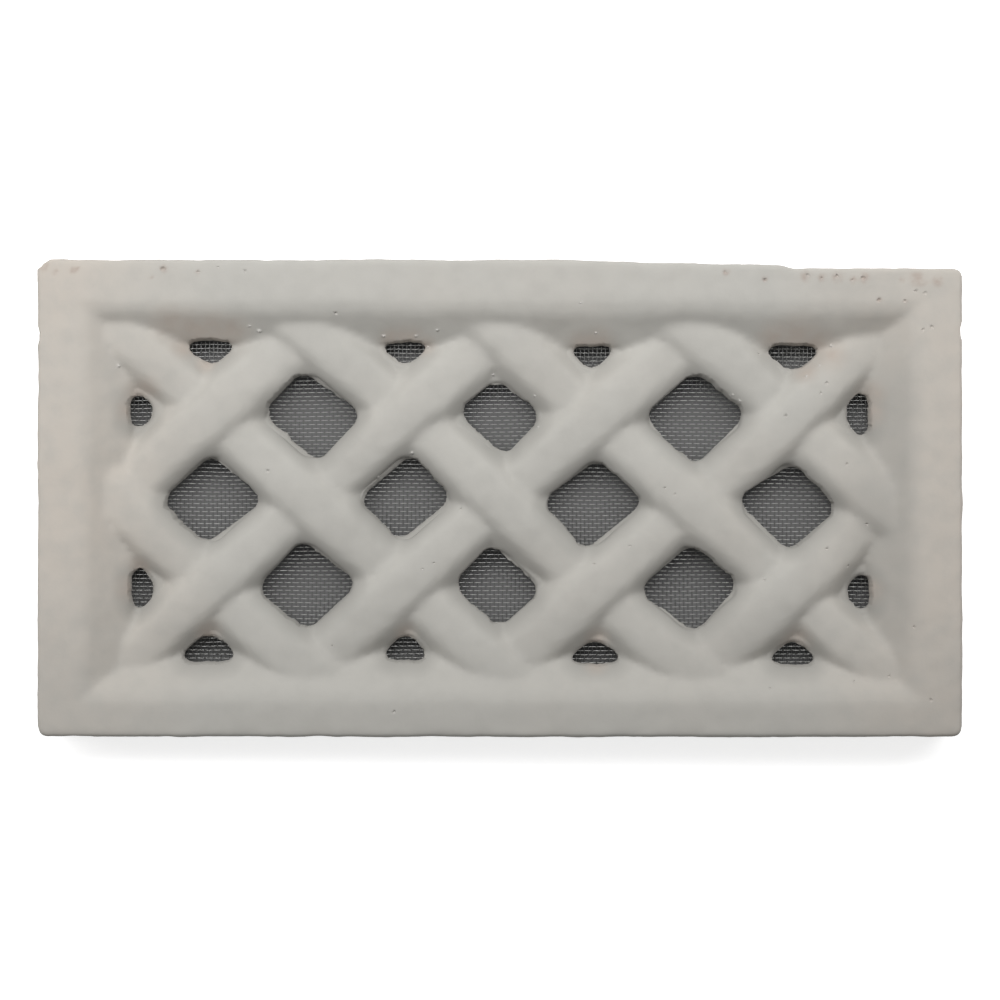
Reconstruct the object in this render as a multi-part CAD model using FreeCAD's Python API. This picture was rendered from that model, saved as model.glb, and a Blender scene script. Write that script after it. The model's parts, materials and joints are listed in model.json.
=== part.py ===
"""Decorative screen block: a cast wall vent with a basket-weave face and insect mesh cast in behind it.

The block lies on its back, face up. X runs along its length, Y along its height as it stands in a
wall, and Z out of its face. The origin is the centre of the back face. All sizes are millimetres.
The pieces are made round the centre of the weave, and moved into place as the last step.
"""

import FreeCAD
import Part
import math
import os

from FreeCAD import Vector

# Cast block
BLOCK_LENGTH = 330.0
BLOCK_HEIGHT = 171.0
BLOCK_DEPTH = 20.0
CORNER_RADIUS = 3.5
FRONT_EDGE_CHAMFER = 1.2

# Flat border of the face, and the bevels that run from it down to the weave
END_BORDER_WIDTH = 16.7
TOP_BORDER_WIDTH = 17.6
BOTTOM_BORDER_WIDTH = 15.2
END_BEVEL_RUN = 13.1
SIDE_BEVEL_RUN = 10.8
BEVEL_DEPTH = 8.6
BEVEL_RIM_RADIUS = 12.0

# Floor behind the strips, which joins them and has the openings
FLOOR_BELOW_BEVEL = 3.2
FLOOR_THICKNESS = 1.5

# Weave: crossings stand on a grid of columns and rows, counted from the centre to the outermost ones
COLUMNS_FROM_CENTRE = 4
ROWS_FROM_CENTRE = 2
CROSSING_PAST_FLOOR = 3.8
STRIP_CROWN_WIDTH = 9.2
STRIP_CROWN_RADIUS = 38.0
STRIP_EDGE_RADIUS = 8.0
STRIP_SIDE_SLOPE_DEG = 40.0
CREST_BELOW_FACE = 3.9
WEAVE_RISE = 3.0

# Openings between the strips: the width left along each strip, how much smaller some openings are, the radius
# of their corners between strips, and how far their corners on a bevel are cut off
WIDTH_ALONG_STRIP = 21.7
OPENING_CORNER_RADIUS = 5.0
CENTRE_OPENING_INSET = 1.7
SIDE_OPENING_INSET = 2.5
END_OPENING_INSET = 3.3
BEVEL_CORNER_CUT = 4.0

# Insect mesh, held by the margin that is cast in, and the recess that leaves it open behind. It is a plain
# grid: each bar is as wide as the fine wires that it stands for are together, so it is as open as the mesh.
MESH_THICKNESS = 0.6
MESH_MARGIN_CAST_IN = 6.0
MESH_OPENINGS_ALONG = 8
MESH_OPENINGS_UP = 4
MESH_BAR_WIDTH = 6.4
BACK_RECESS_PAST_FLOOR = 6.0

# How closely an edge has to lie at a height or along an axis to be picked
PICK_TOLERANCE = 1e-3

# Places that follow from the sizes above
half_length = BLOCK_LENGTH / 2
half_height = BLOCK_HEIGHT / 2
rim_half_x = half_length - END_BORDER_WIDTH
rim_half_y = half_height - (TOP_BORDER_WIDTH + BOTTOM_BORDER_WIDTH) / 2
weave_centre_y = (BOTTOM_BORDER_WIDTH - TOP_BORDER_WIDTH) / 2
floor_half_x = rim_half_x - END_BEVEL_RUN
floor_half_y = rim_half_y - SIDE_BEVEL_RUN
bevel_foot = BLOCK_DEPTH - BEVEL_DEPTH
floor_top = bevel_foot - FLOOR_BELOW_BEVEL
floor_underside = floor_top - FLOOR_THICKNESS
mesh_underside = floor_underside - MESH_THICKNESS
back_recess_half_x = floor_half_x + BACK_RECESS_PAST_FLOOR
back_recess_half_y = floor_half_y + BACK_RECESS_PAST_FLOOR
column_pitch = (floor_half_x + CROSSING_PAST_FLOOR) / COLUMNS_FROM_CENTRE
row_pitch = (floor_half_y + CROSSING_PAST_FLOOR) / ROWS_FROM_CENTRE
strip_step = math.hypot(column_pitch, row_pitch)
strip_angle = math.atan2(row_pitch, column_pitch)
strip_spacing = 2 * column_pitch * math.sin(strip_angle)
crest_top = BLOCK_DEPTH - CREST_BELOW_FACE


def centred_box(half_x, half_y, bottom, top):
    """Box centred on the Z axis between two heights."""
    corner = Vector(-half_x, -half_y, bottom)
    return Part.makeBox(2 * half_x, 2 * half_y, top - bottom, corner)


def upright_edges(shape):
    """Straight edges of a shape that stand along Z."""
    found = []
    for edge in shape.Edges:
        run = edge.lastVertex().Point - edge.firstVertex().Point
        if math.hypot(run.x, run.y) < PICK_TOLERANCE:
            found.append(edge)
    return found


def level_edges(shape, height, half_x, half_y):
    """Edges that lie at one height, inside a centred rectangle."""
    room = FreeCAD.BoundBox(-half_x, -half_y, height, half_x, half_y, height)
    room.enlarge(PICK_TOLERANCE)
    return [edge for edge in shape.Edges if room.isInside(edge.BoundBox)]


def bordered_block():
    """Block round the weave, with its bevelled recess in front and a recess that leaves the mesh open behind."""
    block = centred_box(half_length, half_height, 0, BLOCK_DEPTH)
    block = block.makeFillet(CORNER_RADIUS, upright_edges(block))
    face_edges = level_edges(block, BLOCK_DEPTH, half_length, half_height)
    block = block.makeChamfer(FRONT_EDGE_CHAMFER, face_edges)
    block.translate(Vector(0, -weave_centre_y, 0))
    bevels = Part.makeWedge(
        -floor_half_x, bevel_foot, -floor_half_y, -rim_half_y, -rim_half_x,
        floor_half_x, BLOCK_DEPTH, floor_half_y, rim_half_y, rim_half_x,
    )
    bevels.rotate(Vector(0, 0, 0), Vector(1, 0, 0), 90)
    block = block.cut(bevels)
    rim_edges = level_edges(block, BLOCK_DEPTH, rim_half_x, rim_half_y)
    block = block.makeFillet(BEVEL_RIM_RADIUS, rim_edges)
    block = block.cut(centred_box(floor_half_x, floor_half_y, floor_top, bevel_foot))
    return block.cut(centred_box(back_recess_half_x, back_recess_half_y, 0, floor_underside))


def wave_path(first, last, over_when_odd):
    """Crown line of a strip above the X axis: one tangent arc over or under each crossing."""
    half_step = strip_step / 2
    middle_height = crest_top - WEAVE_RISE / 2
    arcs = []
    for crossing in range(first, last + 1):
        over = (crossing % 2 == 1) == over_when_odd
        lift = WEAVE_RISE / 2 if over else -WEAVE_RISE / 2
        along = crossing * strip_step
        start = Vector(along - half_step, 0, middle_height)
        middle = Vector(along, 0, middle_height + lift)
        end = Vector(along + half_step, 0, middle_height)
        arcs.append(Part.Arc(start, middle, end).toShape())
    return Part.Wire(arcs)


def strip_section(path):
    """Section of a strip, hung from the start of its crown line: crowned top, rounded edges, sloping sides."""
    crown_turn = math.asin(STRIP_CROWN_WIDTH / 2 / STRIP_CROWN_RADIUS)
    side_turn = math.radians(STRIP_SIDE_SLOPE_DEG)
    foot_depth = crest_top - floor_underside
    edge_centre_out = (STRIP_CROWN_RADIUS - STRIP_EDGE_RADIUS) * math.sin(crown_turn)
    edge_centre_up = (STRIP_CROWN_RADIUS - STRIP_EDGE_RADIUS) * math.cos(crown_turn) - STRIP_CROWN_RADIUS

    def on_edge(sign, turn):
        out = edge_centre_out + STRIP_EDGE_RADIUS * math.sin(turn)
        up = edge_centre_up + STRIP_EDGE_RADIUS * math.cos(turn)
        return Vector(0, sign * out, up)

    def rounded_side(sign):
        crown_end = on_edge(sign, crown_turn)
        middle = on_edge(sign, (crown_turn + side_turn) / 2)
        side_start = on_edge(sign, side_turn)
        half_foot = abs(side_start.y) + (foot_depth + side_start.z) / math.tan(side_turn)
        return crown_end, middle, side_start, Vector(0, sign * half_foot, -foot_depth)

    crown_a, middle_a, side_a, foot_a = rounded_side(-1)
    crown_b, middle_b, side_b, foot_b = rounded_side(1)
    section = Part.Wire([
        Part.Arc(crown_b, Vector(0, 0, 0), crown_a).toShape(),
        Part.Arc(crown_a, middle_a, side_a).toShape(),
        Part.makeLine(side_a, foot_a),
        Part.makeLine(foot_a, foot_b),
        Part.makeLine(foot_b, side_b),
        Part.Arc(side_b, middle_b, crown_b).toShape(),
    ])
    first_arc = path.OrderedEdges[0]
    heading = first_arc.tangentAt(first_arc.FirstParameter)
    climb = math.degrees(math.atan2(heading.z, heading.x))
    section.rotate(Vector(0, 0, 0), Vector(0, 1, 0), -climb)
    section.translate(path.OrderedVertexes[0].Point)
    return section


def woven_strip(line, rising):
    """One strip of the weave, swept along its wave and turned into place.

    Lines are counted from the strip through the centre. Rising strips run up to the right and pass over
    at the odd crossings. Falling strips run down to the right and pass over at the even ones.
    """
    first = max(-ROWS_FROM_CENTRE, -COLUMNS_FROM_CENTRE - 2 * line)
    last = min(ROWS_FROM_CENTRE, COLUMNS_FROM_CENTRE - 2 * line)
    path = wave_path(first, last, over_when_odd=rising)
    strip = path.makePipeShell([strip_section(path)], True, False)
    turn = math.degrees(strip_angle) if rising else -math.degrees(strip_angle)
    strip.rotate(Vector(0, 0, 0), Vector(0, 0, 1), turn)
    strip.translate(Vector(2 * line * column_pitch, 0, 0))
    return strip


def weave():
    """All strips fused, with their ends buried in the border and their feet in the floor."""
    outer_line = (COLUMNS_FROM_CENTRE + ROWS_FROM_CENTRE - 1) // 2
    strips = []
    for rising in (True, False):
        for line in range(-outer_line, outer_line + 1):
            strips.append(woven_strip(line, rising))
    buried_x = half_length - END_BORDER_WIDTH / 2
    buried_y = half_height - TOP_BORDER_WIDTH / 2
    room = centred_box(buried_x, buried_y, floor_top - FLOOR_THICKNESS / 2, BLOCK_DEPTH)
    return strips[0].multiFuse(strips[1:]).common(room)


def at_bevel_foot(edge):
    """Whether an edge stands on the outline of the floor, where the bevels end."""
    past_x = abs(edge.CenterOfMass.x) - floor_half_x
    past_y = abs(edge.CenterOfMass.y) - floor_half_y
    return max(past_x, past_y) > -PICK_TOLERANCE


def opening(column, row):
    """Rounded diamond between four strips, cut off along the foot of a bevel where it reaches past it."""
    half_gap = (strip_spacing - WIDTH_ALONG_STRIP) / 2
    if abs(row) == ROWS_FROM_CENTRE:
        half_gap -= SIDE_OPENING_INSET
    elif abs(column) == COLUMNS_FROM_CENTRE:
        half_gap -= END_OPENING_INSET
    elif column == 0:
        half_gap -= CENTRE_OPENING_INSET
    half_x = half_gap / math.sin(strip_angle)
    half_y = half_gap / math.cos(strip_angle)
    centre = Vector(column * column_pitch, row * row_pitch, mesh_underside)
    corners = [Vector(half_x, 0, 0), Vector(0, half_y, 0), Vector(-half_x, 0, 0), Vector(0, -half_y, 0)]
    outline = Part.makePolygon([centre + corner for corner in corners + corners[:1]])
    diamond = Part.Face(outline).extrude(Vector(0, 0, BLOCK_DEPTH - mesh_underside))
    diamond = diamond.common(centred_box(floor_half_x, floor_half_y, 0, BLOCK_DEPTH))
    strip_corners = [edge for edge in upright_edges(diamond) if not at_bevel_foot(edge)]
    diamond = diamond.makeFillet(OPENING_CORNER_RADIUS, strip_corners)
    bevel_corners = [edge for edge in upright_edges(diamond) if at_bevel_foot(edge)]
    if bevel_corners:
        diamond = diamond.makeChamfer(BEVEL_CORNER_CUT, bevel_corners)
    return diamond


def openings():
    """Every opening of the weave: those between four strips, and the smaller ones along the bevels."""
    found = []
    for column in range(-COLUMNS_FROM_CENTRE, COLUMNS_FROM_CENTRE + 1):
        for row in range(-ROWS_FROM_CENTRE, ROWS_FROM_CENTRE + 1):
            if (column + row) % 2 == 1:
                found.append(opening(column, row))
    return found


def insect_mesh():
    """Sheet of insect mesh against the underside of the floor: a closed margin round a plain grid."""
    half_x = back_recess_half_x + MESH_MARGIN_CAST_IN
    half_y = back_recess_half_y + MESH_MARGIN_CAST_IN
    sheet = centred_box(half_x, half_y, mesh_underside, floor_underside)
    pitch_x = 2 * back_recess_half_x / MESH_OPENINGS_ALONG
    pitch_y = 2 * back_recess_half_y / MESH_OPENINGS_UP
    half_opening_x = (pitch_x - MESH_BAR_WIDTH) / 2
    half_opening_y = (pitch_y - MESH_BAR_WIDTH) / 2
    holes = []
    for column in range(MESH_OPENINGS_ALONG):
        for row in range(MESH_OPENINGS_UP):
            hole = centred_box(half_opening_x, half_opening_y, mesh_underside, floor_underside)
            x = (column + 0.5) * pitch_x - back_recess_half_x
            y = (row + 0.5) * pitch_y - back_recess_half_y
            hole.translate(Vector(x, y, 0))
            holes.append(hole)
    return sheet.cut(Part.makeCompound(holes))


def screen_block(mesh):
    """The casting: border, bevels and weave in one piece, cast around the margin of the mesh."""
    block = bordered_block().fuse(weave())
    block = block.cut(Part.makeCompound(openings()))
    block = block.cut(mesh)
    return block.removeSplitter()


def main():
    mesh = insect_mesh()
    block = screen_block(mesh)
    os.makedirs("parts", exist_ok=True)
    for name, shape in {"screen_block": block, "insect_mesh": mesh}.items():
        shape.translate(Vector(0, weave_centre_y, 0))
        shape.exportStep(os.path.join("parts", name + ".step"))
        print(name, "solids:", len(shape.Solids), "valid:", shape.isValid(), "mm3:", round(shape.Volume))


main()
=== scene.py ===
"""Looks of the decorative screen block: a weathered casting with woven insect mesh behind its openings.

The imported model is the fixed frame. The casting is a copy of its solid, given a cast skin with worn edges,
pinholes and ragged openings, and the insect mesh is woven wire by wire. Sizes are metres, in the frame of the
model: X along the block, Y up its face as it stands in a wall, Z out of its face. The block lies on its back.
"""

import json
import math
import random

import bpy
from bpy.props import FloatProperty, FloatVectorProperty, IntProperty, PointerProperty
from bpy.types import Operator, Panel, PropertyGroup
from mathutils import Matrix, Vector
from mathutils.kdtree import KDTree


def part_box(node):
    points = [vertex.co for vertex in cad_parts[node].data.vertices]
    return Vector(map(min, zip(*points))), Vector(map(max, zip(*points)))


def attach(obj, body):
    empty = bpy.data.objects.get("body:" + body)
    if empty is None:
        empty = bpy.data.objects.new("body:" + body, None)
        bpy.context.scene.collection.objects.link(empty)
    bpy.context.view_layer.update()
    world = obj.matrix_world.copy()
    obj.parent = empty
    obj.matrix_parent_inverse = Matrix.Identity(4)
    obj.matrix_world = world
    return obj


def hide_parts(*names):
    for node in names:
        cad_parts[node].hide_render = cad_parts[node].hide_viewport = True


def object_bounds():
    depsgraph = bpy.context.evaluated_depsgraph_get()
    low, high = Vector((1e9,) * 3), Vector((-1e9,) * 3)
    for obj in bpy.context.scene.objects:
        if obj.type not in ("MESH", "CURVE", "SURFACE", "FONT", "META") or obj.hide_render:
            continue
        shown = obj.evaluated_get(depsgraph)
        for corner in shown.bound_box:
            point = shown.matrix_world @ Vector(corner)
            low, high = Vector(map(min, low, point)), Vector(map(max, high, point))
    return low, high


bl_info = {
    "name": "Screen Block",
    "version": (1, 0, 0),
    "blender": (4, 5, 0),
    "location": "3D View > Sidebar > Screen Block",
    "description": "Dresses a cast screen block with its skin, its insect mesh and a plain stage",
    "category": "Object",
}

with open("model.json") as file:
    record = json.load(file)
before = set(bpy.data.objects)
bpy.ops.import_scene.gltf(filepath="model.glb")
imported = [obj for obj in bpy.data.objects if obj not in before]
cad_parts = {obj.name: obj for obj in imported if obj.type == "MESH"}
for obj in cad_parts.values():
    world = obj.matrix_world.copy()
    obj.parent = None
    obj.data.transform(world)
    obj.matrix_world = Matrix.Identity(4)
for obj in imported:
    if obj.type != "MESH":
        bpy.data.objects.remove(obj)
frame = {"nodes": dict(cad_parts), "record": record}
cad_low, cad_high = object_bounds()
block_low, block_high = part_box("screen_block")
mesh_low, mesh_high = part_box("insect_mesh")

MM = 0.001
BODY = "root"

# The photograph, seen straight from above: size of a pixel at the face of the block, the middle pixel,
# and how far the camera stands over the face and up from the middle of the block
PIXEL = 0.3555 * MM
MIDDLE_PIXEL = 500
CAMERA_HEIGHT = 0.62
CAMERA_UP = -0.6 * MM
EYE = Vector((0, CAMERA_UP, block_high.z + CAMERA_HEIGHT))

# The openings by their left, top, right and bottom pixel in the photograph: those between four strips
# first, then those along the upper, lower, left and right bevel
OPENINGS = (
    (269, 376, 356, 457), (464, 384, 536, 451), (650, 377, 741, 460),
    (168, 460, 257, 539), (365, 459, 446, 536), (548, 464, 638, 545), (743, 468, 832, 546),
    (263, 545, 351, 626), (459, 549, 535, 622), (645, 549, 733, 628),
    (190, 341, 231, 362), (386, 343, 424, 362), (575, 346, 610, 366), (770, 346, 816, 368),
    (185, 637, 232, 661), (387, 637, 424, 660), (574, 643, 617, 663), (774, 643, 813, 664),
    (131, 396, 151, 426), (132, 570, 152, 607), (848, 394, 868, 434), (849, 576, 869, 608),
)

# Openings between four strips, in the same order: pixel along of the upper and of the lower corner, and
# pixel up of the left and of the right corner
CORNERS = (
    (303, 317, 413, 414), (497, 504, 412, 416), (694, 696, 417, 414),
    (211, 206, 500, 500), (411, 400, 499, 498), (598, 586, 502, 502), (793, 789, 500, 508),
    (302, 307, 588, 584), (492, 500, 585, 589), (691, 695, 590, 584),
)

# Marks of the casting by their pixel in the photograph, each with its width in millimetres. The chips
# lie outside the edges and bite into them.
CHIPS = (
    (26, 243, 20.0), (20, 335, 14.0), (21, 475, 12.0), (980, 330, 14.0), (979, 520, 10.0), (790, 245, 12.0),
    (872, 253, 9.0), (640, 244, 11.0), (360, 755, 11.0), (860, 756, 12.0), (60, 755, 12.0), (330, 243, 10.5),
)
PINHOLES = (
    (163, 269, 2.2), (198, 272, 1.3), (218, 267, 1.0), (245, 271, 1.0), (725, 272, 1.2), (765, 280, 1.3),
    (808, 275, 1.5), (822, 278, 1.2), (837, 276, 1.6), (852, 280, 1.0), (863, 278, 1.8), (879, 300, 1.4),
    (905, 301, 1.3), (916, 291, 1.2), (925, 293, 1.3), (914, 627, 1.0), (931, 700, 1.0), (759, 354, 1.0),
    (827, 383, 1.3), (821, 393, 0.9), (786, 416, 1.3), (847, 464, 1.1), (665, 488, 1.2), (675, 494, 1.0),
    (867, 524, 1.0), (848, 566, 1.0), (827, 549, 1.0), (770, 688, 1.0), (854, 681, 1.0), (889, 676, 1.1),
    (764, 580, 1.0), (630, 546, 1.0), (461, 509, 1.0), (422, 569, 1.0), (434, 563, 1.1), (594, 564, 1.0),
    (332, 646, 1.0), (336, 313, 1.3), (268, 471, 1.1), (394, 712, 1.6), (923, 330, 1.2), (932, 327, 1.4),
)
BEADS = (
    (250, 326, 1.0), (259, 331, 1.8), (384, 336, 1.6), (416, 336, 1.2), (437, 330, 1.0), (493, 375, 1.0),
    (535, 396, 0.9), (538, 427, 1.0), (412, 453, 1.4), (378, 477, 1.3), (355, 420, 1.1), (596, 333, 1.0),
    (581, 303, 0.9), (733, 395, 1.0), (740, 401, 1.0), (850, 409, 2.0), (119, 366, 1.1), (831, 346, 1.1),
    (806, 376, 1.2), (819, 365, 0.9), (428, 347, 0.9),
)
STAINS = (
    (44, 266, 2.6), (55, 272, 1.8), (73, 270, 2.0), (78, 269, 1.4), (164, 269, 2.4), (151, 277, 1.2),
    (198, 272, 1.6), (726, 272, 2.2), (765, 279, 1.8), (806, 276, 3.2), (822, 278, 2.4), (838, 277, 3.2),
    (853, 280, 2.4), (865, 278, 3.0), (902, 280, 1.6), (917, 279, 4.0), (923, 282, 2.4), (938, 281, 3.0),
    (879, 300, 1.6), (905, 301, 1.4),
)
DUST = (
    (172, 324, 7.0), (192, 331, 9.0), (212, 332, 9.0), (230, 331, 7.0), (183, 347, 5.0), (206, 364, 4.0),
    (392, 338, 5.0), (408, 338, 6.0), (424, 344, 4.5), (582, 341, 5.0), (598, 341, 6.0), (776, 337, 7.0),
    (797, 337, 9.0), (816, 343, 7.0), (830, 355, 6.0), (806, 371, 5.0), (136, 393, 5.0), (127, 411, 4.5),
    (148, 388, 5.0), (128, 588, 5.0), (140, 565, 4.5), (871, 396, 6.0), (872, 414, 5.0), (872, 590, 5.0),
    (208, 631, 5.0), (405, 632, 4.5), (596, 637, 5.0), (795, 638, 6.0), (596, 666, 4.5), (232, 655, 4.0),
)


class CastingSettings(PropertyGroup):
    """Skin, wear and colours of the casting."""

    grid: FloatProperty(
        name="Skin grid", description="Spacing of the points that the skin is rebuilt on",
        default=1.1 * MM, min=0.5 * MM, unit="LENGTH",
    )
    deepening: FloatProperty(
        name="Deepening", description="How much deeper the worn relief lies at the floor of the weave",
        default=1.4 * MM, min=0, unit="LENGTH",
    )
    softening: IntProperty(
        name="Softening", description="Rounds of smoothing on the weave, as a worn mould leaves it",
        default=9, min=0,
    )
    lean: FloatProperty(
        name="Lean", description="How far the walls of an opening lean out over the depth of the block",
        default=3.0 * MM, min=0, unit="LENGTH",
    )
    raggedness: FloatProperty(
        name="Raggedness", description="How far the edge of an opening strays from its line",
        default=0.3 * MM, min=0, unit="LENGTH",
    )
    edge_wear: FloatProperty(
        name="Edge wear", description="How much of the upper edge is worn away at its right end",
        default=3.2 * MM, min=0, unit="LENGTH",
    )
    cement: FloatVectorProperty(
        name="Cement", description="Main colour of the casting", subtype="COLOR",
        default=(0.497, 0.484, 0.45), min=0, max=1,
    )
    warm_cement: FloatVectorProperty(
        name="Warm cement", description="Colour of the casting towards its ends", subtype="COLOR",
        default=(0.55, 0.502, 0.447), min=0, max=1,
    )
    dust: FloatVectorProperty(
        name="Dust", description="Colour of the dust round the openings along the bevels", subtype="COLOR",
        default=(0.455, 0.395, 0.345), min=0, max=1,
    )
    stain: FloatVectorProperty(
        name="Stain", description="Colour of the reddish stains along the upper edge", subtype="COLOR",
        default=(0.36, 0.27, 0.225), min=0, max=1,
    )


class MeshSettings(PropertyGroup):
    """Weave of the insect mesh."""

    pitch_along: FloatProperty(
        name="Pitch along", description="Spacing of the wires along the block",
        default=1.5 * MM, min=0.5 * MM, unit="LENGTH",
    )
    pitch_up: FloatProperty(
        name="Pitch up", description="Spacing of the wires up the block",
        default=1.44 * MM, min=0.5 * MM, unit="LENGTH",
    )
    wire: FloatProperty(
        name="Wire", description="Diameter of the wire", default=0.3 * MM, min=0.1 * MM, unit="LENGTH",
    )


class StageSettings(PropertyGroup):
    """Camera, lights and floor."""

    lamp_power: FloatProperty(
        name="Lamp power", description="Power of the lamp past the upper edge",
        default=5.6, min=0, unit="POWER",
    )
    room_light: FloatProperty(
        name="Room light", description="Strength of the light from all around", default=0.2, min=0,
    )
    floor_colour: FloatVectorProperty(
        name="Floor", description="Colour of the floor", subtype="COLOR",
        default=(0.9, 0.9, 0.9), min=0, max=1,
    )


class Signal:
    """Output of a shader node, so that shader maths reads as Python."""

    def __init__(self, tree, output=None):
        self.tree = tree
        self.output = output

    def node(self, kind, settings, inputs, output=0):
        """Add a node: its settings first, then the values or links of its sockets. Returns one output."""
        made = self.tree.nodes.new(kind)
        for name, value in settings.items():
            setattr(made, name, value)
        for socket, value in inputs.items():
            if isinstance(value, Signal):
                self.tree.links.new(value.output, made.inputs[socket])
            else:
                made.inputs[socket].default_value = value
        return Signal(self.tree, made.outputs[output] if made.outputs else None)

    def maths(self, operation, first, second):
        return self.node("ShaderNodeMath", {"operation": operation}, {0: first, 1: second})

    def __add__(self, other):
        return self.maths("ADD", self, other)

    def __radd__(self, other):
        return self.maths("ADD", other, self)

    def __sub__(self, other):
        return self.maths("SUBTRACT", self, other)

    def __rsub__(self, other):
        return self.maths("SUBTRACT", other, self)

    def __mul__(self, other):
        return self.maths("MULTIPLY", self, other)

    def __rmul__(self, other):
        return self.maths("MULTIPLY", other, self)

    def __abs__(self):
        return self.maths("ABSOLUTE", self, 0.0)

    def between(self, low, high):
        """0 below low, 1 above high, smooth in between."""
        inputs = {"Value": self, "From Min": low, "From Max": high}
        return self.node("ShaderNodeMapRange", {"interpolation_type": "SMOOTHSTEP"}, inputs)

    def mix(self, first, second):
        """Colour that goes from first to second with this signal, by the colour sockets of a mix node."""
        settings = {"data_type": "RGBA"}
        return self.node("ShaderNodeMix", settings, {0: self, 6: first, 7: second}, output=2)

    def noise(self, scale, detail=2.0):
        """Noise over this vector."""
        return self.node("ShaderNodeTexNoise", {}, {"Vector": self, "Scale": scale, "Detail": detail})

    def patches(self, scale, detail, low, high, least):
        """Uneven cover from a least share up to 1, by noise over this vector."""
        return least + (1 - least) * self.noise(scale, detail).between(low, high)

    def parts(self):
        """The three numbers of this vector."""
        split = self.node("ShaderNodeSeparateXYZ", {}, {0: self})
        return [Signal(self.tree, output) for output in split.output.node.outputs]

    def object_place(self):
        """Place in the piece's own coordinates."""
        return self.node("ShaderNodeTexCoord", {}, {}, output="Object")

    def attribute(self, name):
        """Value that the skin holds for each point."""
        return self.node("ShaderNodeAttribute", {"attribute_name": name}, {}, output="Fac")

    def ray(self, kind):
        """1 where a ray is of this kind."""
        return self.node("ShaderNodeLightPath", {}, {}, output=kind)

    def surface(self, inputs):
        """End the material in one shader with these sockets."""
        shader = self.node("ShaderNodeBsdfPrincipled", {}, inputs)
        self.node("ShaderNodeOutputMaterial", {}, {"Surface": shader})


def new_material(name):
    """An empty node material, and a signal to add its first node with."""
    material = bpy.data.materials.new(name)
    material.use_nodes = True
    material.node_tree.nodes.clear()
    return material, Signal(material.node_tree)


def rgba(colour):
    return (*colour, 1.0)


PALE_BEAD = (0.64, 0.63, 0.6)

# Where the colour of the casting changes, in metres along or up from its middle: towards its warm ends,
# on both sides of the darker band on the right bevel, past the ends of that band, down the lower half, which
# is painted darker as shade, and at the upper rims, where less shade is painted
WARM_ENDS = (0.09, 0.165)
RIGHT_BEVEL_DARKER_STARTS = (0.115, 0.138)
RIGHT_BEVEL_DARKER_STOPS = (0.143, 0.153)
RIGHT_BEVEL_DARKER_FADES = (0.035, 0.065)
LOWER_HALF = (0.02, 0.085)
UPPER_RIMS = (0.03, 0.06)

# How much each change counts for, and how dark the cement is where it is mottled, darkened or painted with
# shade round the rims
SHARE = {
    "warm_ends": 0.8, "clouds": 0.9, "mottle": 0.35, "right_bevel_darker": 0.55, "painted_shade_low": 0.3, "rim_painted_shade": 0.8,
    "less_shade_upper_rims": 0.5, "dust": 0.8, "stain": 0.5, "pale": 0.7, "coarse_grain": 0.6,
}
DARK_CEMENT = {"mottle": 0.86, "darkened": 0.74, "rim_painted_shade": 0.68}


def cement_material(settings):
    """Matt cement: mottled, warmer at the ends, with painted shade round the openings and down the lower
    half, a darker right bevel, dust, a few reddish stains and pale beads.
    """
    material, start = new_material("cast_cement_skin")
    place = start.object_place()
    along, up, _ = place.parts()

    def dark_cement(name):
        return rgba([DARK_CEMENT[name] * value for value in settings.cement])

    cloud = place.noise(scale=18.0, detail=3.0)
    warmth = abs(along).between(*WARM_ENDS) * SHARE["warm_ends"] + (cloud - 0.5) * SHARE["clouds"]
    colour = warmth.mix(rgba(settings.cement), rgba(settings.warm_cement))
    mottle = place.noise(scale=140.0, detail=4.0).between(low=0.35, high=0.75)
    colour = (mottle * SHARE["mottle"]).mix(colour, dark_cement("mottle"))

    # Darker on the right bevel
    right_bevel = along.between(*RIGHT_BEVEL_DARKER_STARTS) * (1 - along.between(*RIGHT_BEVEL_DARKER_STOPS))
    right_bevel = right_bevel * (1 - abs(up).between(*RIGHT_BEVEL_DARKER_FADES))
    # Painted shade: darker down the lower half
    low_down = (0 - up).between(*LOWER_HALF)
    darker_share = right_bevel * SHARE["right_bevel_darker"] + low_down * SHARE["painted_shade_low"]
    colour = darker_share.mix(colour, dark_cement("darkened"))
    # Painted shade round the rims of the openings, less of it at the upper rims
    rim_share = SHARE["rim_painted_shade"] - SHARE["less_shade_upper_rims"] * up.between(*UPPER_RIMS)
    colour = (start.attribute("darkened") * rim_share).mix(colour, dark_cement("rim_painted_shade"))

    dust_patches = place.patches(scale=260.0, detail=3.0, low=0.3, high=0.7, least=0.65)
    dusty = start.attribute("dust").between(low=0.0, high=1.0) * dust_patches
    colour = (dusty * SHARE["dust"]).mix(colour, rgba(settings.dust))
    stain_patches = place.patches(scale=420.0, detail=4.0, low=0.35, high=0.65, least=0.3)
    stained = start.attribute("stain").between(low=0.0, high=0.8) * stain_patches
    colour = (stained * SHARE["stain"]).mix(colour, rgba(settings.stain))
    colour = (start.attribute("pale") * SHARE["pale"]).mix(colour, rgba(PALE_BEAD))

    coarse_grain = place.noise(scale=260.0, detail=3.0) * SHARE["coarse_grain"]
    grain = place.noise(scale=900.0, detail=3.0) + coarse_grain
    bump = start.node("ShaderNodeBump", {}, {"Strength": 0.22, "Distance": 0.12 * MM, "Height": grain})
    start.surface({"Base Color": colour, "Roughness": 0.82, "Specular IOR Level": 0.25, "Normal": bump})
    return material


# Wire keeps painted shade this far under the mesh middle and has full painted highlight this far under its
# top
HIGHLIGHT_BELOW = 0.16 * MM

# How strong the painted highlight on the wire is, how far that changes from place to place, and the share of
# blue in it
HIGHLIGHT_STRENGTH = 0.8
HIGHLIGHT_CHANGE = 0.4
BLUE_LEFT = 0.97


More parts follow.
